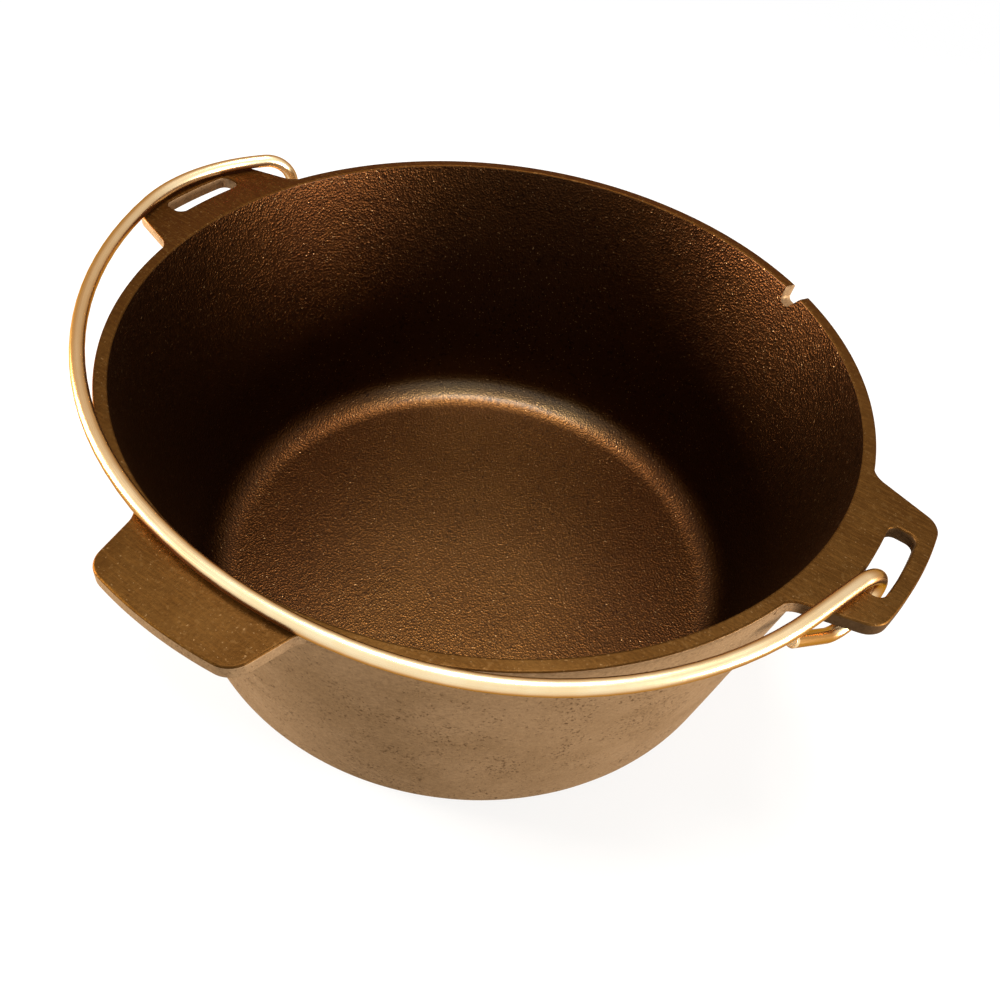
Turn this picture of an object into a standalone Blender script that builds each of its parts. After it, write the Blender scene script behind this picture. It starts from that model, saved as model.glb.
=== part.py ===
"""Cast iron dutch oven: one open pot casting with two slotted ears, a solid front tab and a
small notch in its rim, and one round wire bail whose end hooks turn in the ears.

Frame: origin at the centre of the flat base, +Z up, the ears on +X and -X, the tab on -Y.
All lengths are in metres and all angles in degrees unless a name says otherwise.
"""
import math

import bmesh
import bpy
from mathutils import Matrix, Vector

OBJECT_NAME = "dutch_oven"

# Pot body: a plain open bowl with a draft on its wall and a heavy rounded foot.
RIM_RADIUS = 0.1300
WALL_THICKNESS = 0.0045
POT_HEIGHT = 0.1148
WALL_DRAFT = 10.1
FLOOR_THICKNESS = 0.0053
FOOT_CORNER_RADIUS = 0.0120
FLOOR_FILLET_RADIUS = 0.0140
RIM_EDGE_RADIUS = 0.0008

# Flat plates cast on flush with the rim: two ears and one tab share their thickness.
PLATE_THICKNESS = 0.0050
PLATE_EDGE_RADIUS = 0.0009
ROOT_FILLET_RADIUS = 0.0080
EAR_REACH = 0.0223
EAR_ROOT_HALF_WIDTH = 0.0315
EAR_FLARE = 16.7
EAR_CORNER_RADIUS = 0.0075
TAB_REACH = 0.0195
TAB_ROOT_HALF_WIDTH = 0.0304
TAB_FLARE = 12.5
TAB_CORNER_RADIUS = 0.0080
PLATE_BITE = 0.0030
ROOT_SINK = 0.0004

# Curved slot in each ear, following the rim, which holds one hook of the bail.
SLOT_SETBACK = 0.0084
SLOT_WIDTH = 0.0088
SLOT_HALF_LENGTH = 0.0151
SLOT_CORNER_RADIUS = 0.0030

# Small notch cast through the rim at the back right: one steep side, one sloping side.
NOTCH_AZIMUTH = 59.8
NOTCH_DEPTH = 0.0063
NOTCH_STEEP_SIDE = 0.0044
NOTCH_SLOPE_TOP = 0.0046
NOTCH_SLOPE_FOOT = 0.0004
NOTCH_BOTTOM_RADIUS = 0.0019
NOTCH_CUT_RISE = 0.0019
NOTCH_LIP_EASE = 1.6
NOTCH_CUT_LENGTH = 0.0180

# Bail: one length of round wire.  It lies flat above the rim, over the tab.  The crown,
# shoulders and legs are those of a bail whose hooks stand one pattern span from the centre.
WIRE_DIAMETER = 0.0048
REST_GAP = 0.0003
PATTERN_SPAN = 0.1400
CROWN_X = -0.0224
CROWN_Y = -0.1274
CROWN_HEADING = -9.57
CROWN_RADIUS = 0.1603
CROWN_ANGLE_RIGHT = 24.3
CROWN_ANGLE_LEFT = 61.5
RIGHT_SHOULDER_RADIUS = 0.1245
RIGHT_SHOULDER_ANGLE = 59.7
RIGHT_LEG_LENGTH = 0.0215
LEFT_SHOULDER_RADIUS = 0.0601
LEFT_SHOULDER_ANGLE = 51.1
LEFT_LEG_LENGTH = 0.0018
RIGHT_HOOK_SET = -5.9
HOOK_SET_RADIUS = 0.0200
RIGHT_HOOK_RADIUS = 0.0104
LEFT_HOOK_RADIUS = 0.0109
RIGHT_HOOK_DROP = 0.0039
LEFT_HOOK_DROP = 0.0019
RIGHT_TAIL_RISE = 29.0
LEFT_TAIL_RISE = -36.7
RIGHT_TAIL_LENGTH = 0.0210
LEFT_TAIL_LENGTH = 0.0083

# The wire's path has a point at least every so many degrees of bend and metres of run.
MAX_BEND_STEP = 12.0
MAX_RUN_STEP = 0.0130

# Hinge line of the bail, through one end bar of each ear.
HINGE_RIGHT_Y = -0.0131
HINGE_LEFT_Y = 0.0305
HINGE_REACH = 0.0100
HINGE_RISE = -0.0008

# How finely round shapes are divided: whole turns, long edges, then fillets and corners.
TURN_STEPS = 96
OUTER_EDGE_STEPS = 10
INNER_EDGE_STEPS = 14
SLOT_EDGE_STEPS = 6
FLOOR_FILLET_STEPS = 8
FOOT_STEPS = 6
ROOT_STEPS = 5
CORNER_STEPS = 6
SLOT_CORNER_STEPS = 4
NOTCH_STEPS = 4
SMALL_EDGE_STEPS = 2
WELD_DISTANCE = 0.000005

# Sizes that follow from the ones above.
DRAFT_SLOPE = math.tan(math.radians(WALL_DRAFT))
WIRE_RADIUS = WIRE_DIAMETER / 2
REST_HEIGHT = POT_HEIGHT + WIRE_RADIUS + REST_GAP
EAR_OUTER_RADIUS = RIM_RADIUS + EAR_REACH
TAB_OUTER_RADIUS = RIM_RADIUS + TAB_REACH
SLOT_INNER_RADIUS = RIM_RADIUS + SLOT_SETBACK
SLOT_OUTER_RADIUS = SLOT_INNER_RADIUS + SLOT_WIDTH
HINGE_HALF_SPAN = RIM_RADIUS + HINGE_REACH
BAIL_SCALE = HINGE_HALF_SPAN / PATTERN_SPAN
BASE_RADIUS = RIM_RADIUS - POT_HEIGHT * DRAFT_SLOPE
FLOOR_EDGE_RADIUS = BASE_RADIUS + FLOOR_THICKNESS * DRAFT_SLOPE - WALL_THICKNESS
HINGE_Z = POT_HEIGHT + HINGE_RISE
HINGE_RIGHT = Vector((HINGE_HALF_SPAN, HINGE_RIGHT_Y, HINGE_Z))
HINGE_LEFT = Vector((-HINGE_HALF_SPAN, HINGE_LEFT_Y, HINGE_Z))


def clear_scene():
    """Remove what the new file starts with."""
    for item in list(bpy.data.objects):
        bpy.data.objects.remove(item, do_unlink=True)


def make_collection(name):
    """A collection of the given name, linked to the scene."""
    group = bpy.data.collections.new(name)
    bpy.context.scene.collection.children.link(group)
    return group


def make_material(name, colour, roughness, metallic):
    """A plain Principled material for one sub-part."""
    material = bpy.data.materials.new(name)
    material.use_nodes = True
    shader = material.node_tree.nodes["Principled BSDF"]
    shader.inputs["Base Color"].default_value = (*colour, 1.0)
    shader.inputs["Roughness"].default_value = roughness
    shader.inputs["Metallic"].default_value = metallic
    return material


def arc(centre, radius, start, end, steps):
    """Points of a plane arc, both ends included; angles in degrees."""
    points = []
    for index in range(steps + 1):
        angle = math.radians(start + (end - start) * index / steps)
        points.append((centre[0] + radius * math.cos(angle), centre[1] + radius * math.sin(angle)))
    return points


def rounded_corner(before, corner, after, radius, steps):
    """Replace one corner of a plane outline by a tangent arc."""
    apex = Vector(corner)
    to_before = (Vector(before) - apex).normalized()
    to_after = (Vector(after) - apex).normalized()
    half = to_before.angle(to_after) / 2
    centre = apex + (to_before + to_after).normalized() * (radius / math.sin(half))
    start = apex + to_before * (radius / math.tan(half)) - centre
    end = apex + to_after * (radius / math.tan(half)) - centre
    sweep = start.angle_signed(end)
    points = []
    for index in range(steps + 1):
        spoke = start.copy()
        spoke.rotate(Matrix.Rotation(-sweep * index / steps, 2))
        points.append(tuple(centre + spoke))
    return points


def polar(point):
    """Azimuth of a plane point, in degrees."""
    return math.degrees(math.atan2(point[1], point[0]))


def mesh_from_profile(name, outline):
    """A turned body: the outline is radius and height, from the axis round to the axis."""
    mesh = bpy.data.meshes.new(name)
    vertices = [(radius, 0.0, height) for radius, height in outline]
    edges = [(index, index + 1) for index in range(len(outline) - 1)]
    mesh.from_pydata(vertices, edges, [])
    body = bpy.data.objects.new(name, mesh)
    turn = body.modifiers.new("turn", "SCREW")
    turn.axis = "Z"
    turn.angle = math.radians(360)
    turn.steps = TURN_STEPS
    turn.render_steps = TURN_STEPS
    turn.use_merge_vertices = True
    turn.merge_threshold = WELD_DISTANCE
    turn.use_smooth_shade = True
    return body


def curve_plate(name, outlines, thickness, edge_radius):
    """A flat plate from closed plane outlines; a second outline is a hole through it."""
    curve = bpy.data.curves.new(name, "CURVE")
    curve.dimensions = "2D"
    curve.fill_mode = "BOTH"
    curve.extrude = thickness / 2 - edge_radius
    curve.bevel_depth = edge_radius
    curve.bevel_resolution = 1
    curve.offset = -edge_radius
    for outline in outlines:
        spline = curve.splines.new("POLY")
        spline.points.add(len(outline) - 1)
        for point, (x, y) in zip(spline.points, outline):
            point.co = (x, y, 0.0, 1.0)
        spline.use_cyclic_u = True
    return bpy.data.objects.new(name, curve)


def curve_to_mesh(item, group):
    """Turn a curve object into a welded mesh object that keeps its place."""
    group.objects.link(item)
    bpy.context.view_layer.update()
    graph = bpy.context.evaluated_depsgraph_get()
    mesh = bpy.data.meshes.new_from_object(item.evaluated_get(graph))
    work = bmesh.new()
    work.from_mesh(mesh)
    bmesh.ops.remove_doubles(work, verts=work.verts, dist=WELD_DISTANCE)
    bmesh.ops.recalc_face_normals(work, faces=work.faces)
    work.to_mesh(mesh)
    work.free()
    name = item.name
    solid = bpy.data.objects.new(name + "_solid", mesh)
    solid.matrix_world = item.matrix_world.copy()
    group.objects.link(solid)
    bpy.data.objects.remove(item, do_unlink=True)
    return solid


def pot_profile():
    """Outline of the bowl: floor, fillet, wall, rim, wall and foot."""
    floor_centre = (0.0, FLOOR_THICKNESS)
    floor_corner = (FLOOR_EDGE_RADIUS, FLOOR_THICKNESS)
    rim_inner = (RIM_RADIUS - WALL_THICKNESS, POT_HEIGHT)
    rim_outer = (RIM_RADIUS, POT_HEIGHT)
    foot_corner = (BASE_RADIUS, 0.0)
    base_centre = (0.0, 0.0)
    outline = [floor_centre]
    outline += rounded_corner(floor_centre, floor_corner, rim_inner, FLOOR_FILLET_RADIUS, FLOOR_FILLET_STEPS)
    outline += rounded_corner(floor_corner, rim_inner, rim_outer, RIM_EDGE_RADIUS, SMALL_EDGE_STEPS)
    outline += rounded_corner(rim_inner, rim_outer, foot_corner, RIM_EDGE_RADIUS, SMALL_EDGE_STEPS)
    outline += rounded_corner(rim_outer, foot_corner, base_centre, FOOT_CORNER_RADIUS, FOOT_STEPS)
    outline.append(base_centre)
    return outline


def plate_outline(outer_radius, root_half_width, flare, corner_radius):
    """Plan of an ear or tab on the +X side of the pot, biting into the rim.

    The side narrows outwards by the flare.  Its outer corner is an arc tangent to the side
    and to the outer edge; its root is an arc tangent to the side and to the rim.
    """
    slope = math.radians(flare)
    along = Vector((math.cos(slope), -math.sin(slope)))
    outward = Vector((math.sin(slope), math.cos(slope)))
    root = Vector((RIM_RADIUS, root_half_width))
    root_ring = RIM_RADIUS - ROOT_SINK

    def centre_on_ring(ring, shift):
        base = root + outward * shift
        middle = base.dot(along)
        reach = math.sqrt(ring * ring - (base - along * middle).length_squared)
        return base + along * (reach - middle)

    corner = centre_on_ring(outer_radius - corner_radius, -corner_radius)
    fillet = centre_on_ring(root_ring + ROOT_FILLET_RADIUS, ROOT_FILLET_RADIUS)
    side_angle = 90 - flare
    rim_point = fillet.normalized() * root_ring
    upper = arc(fillet, ROOT_FILLET_RADIUS, polar(-fillet), side_angle - 180, ROOT_STEPS)
    upper += arc(corner, corner_radius, side_angle, polar(corner), CORNER_STEPS)
    lower = [(x, -y) for x, y in reversed(upper)]
    outer = arc((0.0, 0.0), outer_radius, polar(corner), -polar(corner), OUTER_EDGE_STEPS)
    inner_edge = RIM_RADIUS - PLATE_BITE
    inner = arc((0.0, 0.0), inner_edge, -polar(rim_point), polar(rim_point), INNER_EDGE_STEPS)
    return upper + outer[1:-1] + lower + inner


def slot_outline():
    """Plan of the curved slot in the +X ear."""
    radius = SLOT_CORNER_RADIUS
    centre_y = SLOT_HALF_LENGTH - radius
    inner_x = math.sqrt((SLOT_INNER_RADIUS + radius) ** 2 - centre_y ** 2)
    outer_x = math.sqrt((SLOT_OUTER_RADIUS - radius) ** 2 - centre_y ** 2)
    inner_lean = polar((inner_x, centre_y))
    outer_lean = polar((outer_x, centre_y))
    top = arc((inner_x, centre_y), radius, 180 + inner_lean, 90, SLOT_CORNER_STEPS)
    top += arc((outer_x, centre_y), radius, 90, outer_lean, SLOT_CORNER_STEPS)
    outer = arc((0.0, 0.0), SLOT_OUTER_RADIUS, outer_lean, -outer_lean, SLOT_EDGE_STEPS)
    bottom = [(x, -y) for x, y in reversed(top)]
    inner = arc((0.0, 0.0), SLOT_INNER_RADIUS, -inner_lean, inner_lean, SLOT_EDGE_STEPS)
    return top + outer[1:-1] + bottom + inner[1:-1]


def place_plate(name, outlines, azimuth, group):
    """Build one plate flush with the rim and turn it to its side of the pot."""
    plate = curve_plate(name, outlines, PLATE_THICKNESS, PLATE_EDGE_RADIUS)
    lift = Matrix.Translation((0.0, 0.0, POT_HEIGHT - PLATE_THICKNESS / 2))
    plate.matrix_world = Matrix.Rotation(math.radians(azimuth), 4, "Z") @ lift
    return curve_to_mesh(plate, group)


def notch_cutter(group):
    """A short bar with the notch's section, laid through the rim along a radius."""
    slope = (NOTCH_SLOPE_TOP - NOTCH_SLOPE_FOOT) / NOTCH_DEPTH
    flare = -(NOTCH_SLOPE_TOP + NOTCH_CUT_RISE * slope * NOTCH_LIP_EASE)
    steep_foot = (NOTCH_STEEP_SIDE, -NOTCH_DEPTH)
    slope_foot = (-NOTCH_SLOPE_FOOT, -NOTCH_DEPTH)
    steep_top = (NOTCH_STEEP_SIDE, NOTCH_CUT_RISE)
    slope_top = (-NOTCH_SLOPE_TOP, 0.0)
    outline = [steep_top, (flare, NOTCH_CUT_RISE)]
    radius = NOTCH_BOTTOM_RADIUS
    outline += rounded_corner((flare, NOTCH_CUT_RISE), slope_top, slope_foot, radius, SMALL_EDGE_STEPS)
    outline += rounded_corner(slope_top, slope_foot, steep_foot, radius, NOTCH_STEPS)
    outline += rounded_corner(slope_foot, steep_foot, steep_top, radius, NOTCH_STEPS)
    bar = curve_plate("notch_cut", [outline], NOTCH_CUT_LENGTH, 0.0)
    stand = Matrix.Rotation(math.radians(90), 4, "X")
    reach = Matrix.Translation((0.0, -(RIM_RADIUS - WALL_THICKNESS / 2), POT_HEIGHT))
    turn = Matrix.Rotation(math.radians(NOTCH_AZIMUTH + 90), 4, "Z")
    bar.matrix_world = turn @ reach @ stand
    return curve_to_mesh(bar, group)


def combine(body, tool, operation):
    """Join a tool to the body or cut it away, exactly."""
    step = body.modifiers.new(tool.name, "BOOLEAN")
    step.operation = operation
    step.solver = "EXACT"
    step.object = tool


def pot_casting(group, cutters):
    """The one casting: bowl, two slotted ears, tab and notch."""
    body = mesh_from_profile("pot_casting", pot_profile())
    group.objects.link(body)
    ear = plate_outline(EAR_OUTER_RADIUS, EAR_ROOT_HALF_WIDTH, EAR_FLARE, EAR_CORNER_RADIUS)
    tab = plate_outline(TAB_OUTER_RADIUS, TAB_ROOT_HALF_WIDTH, TAB_FLARE, TAB_CORNER_RADIUS)
    slot = slot_outline()
    combine(body, place_plate("ear_right", [ear, slot], 0, cutters), "UNION")
    combine(body, place_plate("ear_left", [ear, slot], 180, cutters), "UNION")
    combine(body, place_plate("front_tab", [tab], -90, cutters), "UNION")
    combine(body, notch_cutter(cutters), "DIFFERENCE")
    body.data.materials.append(make_material("seasoned_cast_iron", (0.045, 0.026, 0.017), 0.55, 0.3))
    return body


def turn_wire(points, heading, towards, radius, angle):
    """Carry the wire round a bend that turns its heading towards a direction."""
    steps = max(2, math.ceil(angle / MAX_BEND_STEP), math.ceil(math.radians(angle) * radius / MAX_RUN_STEP))
    start = points[-1]
    centre = start + towards * radius
    for index in range(1, steps + 1):
        part = math.radians(angle * index / steps)
        points.append(centre - towards * (radius * math.cos(part)) + heading * (radius * math.sin(part)))
    full = math.radians(angle)
    return heading * math.cos(full) + towards * math.sin(full)


def run_wire(points, heading, length):
    """Carry the wire straight on."""
    points.append(points[-1] + heading * length)


def level_heading(azimuth):
    """A level unit vector at an azimuth in degrees."""
    return Vector((math.cos(math.radians(azimuth)), math.sin(math.radians(azimuth)), 0.0))


def half_bail(side):
    """Wire path from the crown's joining point to one hook's end; side is 1 right, -1 left."""
    right = side > 0
    crown_angle = CROWN_ANGLE_RIGHT if right else CROWN_ANGLE_LEFT
    shoulder_radius = (RIGHT_SHOULDER_RADIUS if right else LEFT_SHOULDER_RADIUS) * BAIL_SCALE
    shoulder_angle = RIGHT_SHOULDER_ANGLE if right else LEFT_SHOULDER_ANGLE
    leg_length = (RIGHT_LEG_LENGTH if right else LEFT_LEG_LENGTH) * BAIL_SCALE
    hook_set = RIGHT_HOOK_SET if right else 0.0
    hook_radius = RIGHT_HOOK_RADIUS if right else LEFT_HOOK_RADIUS
    hook_drop = RIGHT_HOOK_DROP if right else LEFT_HOOK_DROP
    tail_rise = RIGHT_TAIL_RISE if right else LEFT_TAIL_RISE
    tail_length = RIGHT_TAIL_LENGTH if right else LEFT_TAIL_LENGTH
    up = Vector((0.0, 0.0, 1.0))
    heading = level_heading(CROWN_HEADING if right else CROWN_HEADING + 180)
    crown_radius = CROWN_RADIUS * BAIL_SCALE
    points = [Vector((CROWN_X * BAIL_SCALE, CROWN_Y * BAIL_SCALE, REST_HEIGHT))]
    heading = turn_wire(points, heading, up.cross(heading) * side, crown_radius, crown_angle)
    heading = turn_wire(points, heading, up.cross(heading) * side, shoulder_radius, shoulder_angle)
    run_wire(points, heading, leg_length)
    if hook_set:
        sideways = up.cross(heading) * (side * math.copysign(1.0, hook_set))
        heading = turn_wire(points, heading, sideways, HOOK_SET_RADIUS, abs(hook_set))
    down = turn_wire(points, heading, -up, hook_radius, 90)
    run_wire(points, down, hook_drop)
    back = turn_wire(points, down, -heading, hook_radius, 90 + tail_rise)
    run_wire(points, back, tail_length)
    return points


def bail_handle(group, scratch):
    """The wire bail, with its origin on the hinge line."""
    right = half_bail(1)
    left = half_bail(-1)
    path = list(reversed(left)) + right[1:]
    curve = bpy.data.curves.new("bail_wire", "CURVE")
    curve.dimensions = "3D"
    curve.bevel_depth = WIRE_RADIUS
    curve.bevel_resolution = 2
    curve.use_fill_caps = True
    spline = curve.splines.new("POLY")
    spline.points.add(len(path) - 1)
    for point, place in zip(spline.points, path):
        point.co = (*place, 1.0)
    solid = curve_to_mesh(bpy.data.objects.new("bail_wire", curve), scratch)
    mesh = solid.data
    bpy.data.objects.remove(solid, do_unlink=True)
    pivot = (HINGE_RIGHT + HINGE_LEFT) / 2
    mesh.transform(Matrix.Translation(-pivot))
    mesh.shade_smooth()
    handle = bpy.data.objects.new("bail_handle", mesh)
    handle.location = pivot
    group.objects.link(handle)
    handle.data.materials.append(make_material("drawn_steel_wire", (0.75, 0.55, 0.33), 0.3, 0.9))
    return handle


clear_scene()
parts = make_collection(OBJECT_NAME)
tools = make_collection(OBJECT_NAME + "_cutters")
pot_casting(parts, tools)
bail_handle(parts, tools)
for cutter in tools.objects:
    cutter.hide_render = True
    cutter.display_type = "WIRE"
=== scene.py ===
"""Cast iron dutch oven with a wire bail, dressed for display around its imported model."""
import math

import bmesh
import bpy
from mathutils import Matrix, Vector, noise


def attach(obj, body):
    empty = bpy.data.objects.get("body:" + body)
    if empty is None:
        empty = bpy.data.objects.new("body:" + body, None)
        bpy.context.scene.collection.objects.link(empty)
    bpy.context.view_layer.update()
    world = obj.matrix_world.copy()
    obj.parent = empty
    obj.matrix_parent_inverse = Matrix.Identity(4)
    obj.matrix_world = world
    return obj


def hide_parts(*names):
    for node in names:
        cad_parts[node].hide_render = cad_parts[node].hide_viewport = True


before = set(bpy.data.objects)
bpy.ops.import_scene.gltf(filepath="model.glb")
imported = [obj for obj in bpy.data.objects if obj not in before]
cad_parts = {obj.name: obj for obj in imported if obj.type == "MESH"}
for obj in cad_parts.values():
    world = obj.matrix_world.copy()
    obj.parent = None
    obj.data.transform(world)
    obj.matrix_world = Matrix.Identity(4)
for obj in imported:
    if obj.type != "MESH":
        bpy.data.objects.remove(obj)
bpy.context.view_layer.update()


# ---------------------------------------------------------------- the stand and the light
# A white table top in a white surround, under plain soft studio light: a softbox overhead
# and a low one at each side.  The camera looks down into the pot from its front right.

CAMERA_PLACE = (0.14255, -0.23171, 0.32580)
CAMERA_LENS = 35.932
CAMERA_SENSOR = 36.0
CAMERA_AZIMUTH = 119.740
CAMERA_DIP = 46.197
CAMERA_ROLL = 8.511
FLOOR_SIZE = 6.0
FLOOR_HEIGHT = -0.0002
WHITE = (1.0, 1.0, 1.0, 1.0)
SURROUND_STRENGTH = 0.24
SHADOW_SHARE = 0.22
SHADOW_NEAR = 0.25
SHADOW_FAR = 0.80
TABLE_WHITE = (0.93, 0.93, 0.92, 1.0)
LAMP_WHITE = (1.0, 0.95, 0.87)
LAMP_SIZE = 0.40
# Each lamp's place, the height on the object's axis that it faces, and its power.
LAMPS = {
    "overhead_softbox": ((-0.04, 0.07, 1.20), 0.05, 16.0),
    "left_softbox": ((-1.05, -0.50, 0.23), 0.06, 52.0),
    "right_softbox": ((1.15, 0.15, 0.24), 0.06, 30.0),
}


def aim(azimuth, dip, roll):
    """Rotation of a camera or lamp that looks along an azimuth and down by a dip."""
    look = Vector((
        math.cos(math.radians(azimuth)) * math.cos(math.radians(dip)),
        math.sin(math.radians(azimuth)) * math.cos(math.radians(dip)),
        -math.sin(math.radians(dip)),
    ))
    turn = look.to_track_quat("-Z", "Y").to_matrix().to_4x4()
    return turn @ Matrix.Rotation(math.radians(roll), 4, "Z")


def place_camera():
    """The main camera."""
    lens = bpy.data.cameras.new("main_camera")
    lens.lens = CAMERA_LENS
    lens.sensor_width = CAMERA_SENSOR
    lens.clip_start = 0.01
    camera = bpy.data.objects.new("main_camera", lens)
    turn = aim(CAMERA_AZIMUTH, CAMERA_DIP, CAMERA_ROLL)
    camera.matrix_world = Matrix.Translation(CAMERA_PLACE) @ turn
    bpy.context.scene.collection.objects.link(camera)
    bpy.context.scene.camera = camera


def add_softbox(name, place, aim_height, power):
    """One square softbox that faces a height on the object's axis."""
    data = bpy.data.lights.new(name, "AREA")
    data.shape = "SQUARE"
    data.size = LAMP_SIZE
    data.energy = power
    data.color = LAMP_WHITE
    lamp = bpy.data.objects.new(name, data)
    look = Vector((0.0, 0.0, aim_height)) - Vector(place)
    turn = look.to_track_quat("-Z", "Y").to_matrix().to_4x4()
    lamp.matrix_world = Matrix.Translation(place) @ turn
    bpy.context.scene.collection.objects.link(lamp)


def seen_as_white(tree, shader):
    """A shader that camera and reflections see as white: wholly far out, partly near the pot."""
    nodes, links = tree.nodes, tree.links
    path = nodes.new("ShaderNodeLightPath")
    seen = nodes.new("ShaderNodeMath")
    seen.operation = "MAXIMUM"
    links.new(path.outputs["Is Camera Ray"], seen.inputs[0])
    links.new(path.outputs["Is Glossy Ray"], seen.inputs[1])
    place = nodes.new("ShaderNodeTexCoord")
    away = nodes.new("ShaderNodeVectorMath")
    away.operation = "LENGTH"
    links.new(place.outputs["Object"], away.inputs[0])
    white = nodes.new("ShaderNodeMapRange")
    white.interpolation_type = "SMOOTHSTEP"
    links.new(away.outputs["Value"], white.inputs["Value"])
    white.inputs["From Min"].default_value = SHADOW_NEAR
    white.inputs["From Max"].default_value = SHADOW_FAR
    white.inputs["To Min"].default_value = 1.0 - SHADOW_SHARE
    white.inputs["To Max"].default_value = 1.0
    share = nodes.new("ShaderNodeMath")
    share.operation = "MULTIPLY"
    links.new(seen.outputs[0], share.inputs[0])
    links.new(white.outputs[0], share.inputs[1])
    glow = nodes.new("ShaderNodeEmission")
    glow.inputs["Color"].default_value = WHITE
    glow.inputs["Strength"].default_value = 1.0
    mix = nodes.new("ShaderNodeMixShader")
    links.new(share.outputs[0], mix.inputs[0])
    links.new(shader, mix.inputs[1])
    links.new(glow.outputs[0], mix.inputs[2])
    return mix.outputs[0]


def make_stage():
    """Floor, surround and lamps."""
    floor_mesh = bpy.data.meshes.new("stage_floor")
    half = FLOOR_SIZE / 2
    signs = ((-1, -1), (1, -1), (1, 1), (-1, 1))
    corners = [(half * x, half * y, FLOOR_HEIGHT) for x, y in signs]
    floor_mesh.from_pydata(corners, [], [(0, 1, 2, 3)])
    floor = bpy.data.objects.new("stage_floor", floor_mesh)
    bpy.context.scene.collection.objects.link(floor)
    paint = bpy.data.materials.new("white_table")
    paint.use_nodes = True
    tree = paint.node_tree
    tree.nodes.clear()
    matt = tree.nodes.new("ShaderNodeBsdfDiffuse")
    matt.inputs["Color"].default_value = TABLE_WHITE
    out = tree.nodes.new("ShaderNodeOutputMaterial")
    tree.links.new(seen_as_white(tree, matt.outputs[0]), out.inputs["Surface"])
    floor_mesh.materials.append(paint)

    world = bpy.data.worlds.new("white_surround")
    bpy.context.scene.world = world
    world.use_nodes = True
    tree = world.node_tree
    tree.nodes.clear()
    path = tree.nodes.new("ShaderNodeLightPath")
    direct = tree.nodes.new("ShaderNodeMath")
    direct.operation = "MAXIMUM"
    tree.links.new(path.outputs["Is Camera Ray"], direct.inputs[0])
    tree.links.new(path.outputs["Is Transmission Ray"], direct.inputs[1])
    seen = tree.nodes.new("ShaderNodeMath")
    seen.operation = "MAXIMUM"
    tree.links.new(direct.outputs[0], seen.inputs[0])
    tree.links.new(path.outputs["Is Glossy Ray"], seen.inputs[1])
    level = tree.nodes.new("ShaderNodeMapRange")
    level.inputs["To Min"].default_value = SURROUND_STRENGTH
    level.inputs["To Max"].default_value = 1.0
    tree.links.new(seen.outputs[0], level.inputs["Value"])
    sky = tree.nodes.new("ShaderNodeBackground")
    sky.inputs["Color"].default_value = WHITE
    tree.links.new(level.outputs[0], sky.inputs["Strength"])
    out = tree.nodes.new("ShaderNodeOutputWorld")
    tree.links.new(sky.outputs[0], out.inputs["Surface"])

    for name, (place, aim_height, power) in LAMPS.items():
        add_softbox(name, place, aim_height, power)


place_camera()
make_stage()
bpy.context.scene.view_settings.view_transform = "Standard"


# ---------------------------------------------------------------- surface effects
# Every iron face of the pot shows the same things in different amounts: the grain of the
# sand it was cast in, small pits, and soft blotches where the seasoning lies thicker.

def new_group(name, inputs, outputs):
    """A shader node group with the given float inputs and typed outputs."""
    group = bpy.data.node_groups.new(name, "ShaderNodeTree")
    for label, value in inputs:
        socket = group.interface.new_socket(label, in_out="INPUT", socket_type="NodeSocketFloat")
        socket.default_value = value
    for label, kind in outputs:
        group.interface.new_socket(label, in_out="OUTPUT", socket_type=kind)
    return group, group.nodes.new("NodeGroupInput"), group.nodes.new("NodeGroupOutput")


def math_node(tree, operation, first, second):
    """A Math node fed by sockets or numbers; returns its output."""
    node = tree.nodes.new("ShaderNodeMath")
    node.operation = operation
    for slot, value in enumerate((first, second)):
        if isinstance(value, (int, float)):
            node.inputs[slot].default_value = value
        else:
            tree.links.new(value, node.inputs[slot])
    return node.outputs[0]


def ramp_node(tree, value, low, high, to_low=0.0, to_high=1.0):
    """A smooth clamped map of a value from low..high."""
    node = tree.nodes.new("ShaderNodeMapRange")
    node.interpolation_type = "SMOOTHSTEP"
    tree.links.new(value, node.inputs["Value"])
    node.inputs["From Min"].default_value = low
    node.inputs["From Max"].default_value = high
    node.inputs["To Min"].default_value = to_low
    node.inputs["To Max"].default_value = to_high
    return node.outputs[0]


def noise_node(tree, vector, scale, detail, roughness, distortion=0.0):
    """A noise texture; scale may be a socket."""
    node = tree.nodes.new("ShaderNodeTexNoise")
    tree.links.new(vector, node.inputs["Vector"])
    if isinstance(scale, (int, float)):
        node.inputs["Scale"].default_value = scale
    else:
        tree.links.new(scale, node.inputs["Scale"])
    node.inputs["Detail"].default_value = detail
    node.inputs["Roughness"].default_value = roughness
    node.inputs["Distortion"].default_value = distortion
    return node.outputs["Fac"]


def faded(tree, value, amount):
    """A value or mask times a plain number."""
    return math_node(tree, "MULTIPLY", value, amount)


def voronoi_node(tree, vector, scale):
    """A cell texture; scale may be a socket."""
    node = tree.nodes.new("ShaderNodeTexVoronoi")
    tree.links.new(vector, node.inputs["Vector"])
    if isinstance(scale, (int, float)):
        node.inputs["Scale"].default_value = scale
    else:
        tree.links.new(scale, node.inputs["Scale"])
    return node


GRAIN_INPUTS = [
    ("Pebble Scale", 600.0), ("Pebble", 1.0), ("Sand Scale", 1800.0), ("Sand", 0.4),
    ("Pit Scale", 260.0), ("Pits", 0.6), ("Pit Size", 0.16), ("Pore Scale", 700.0),
]
PIT_CHANCE = 0.33
GLINT_SCALE, CLUSTER_SCALE = 1300.0, 70.0
SPECK_SHIFT = (0.37, 0.11, 0.73)


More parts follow.
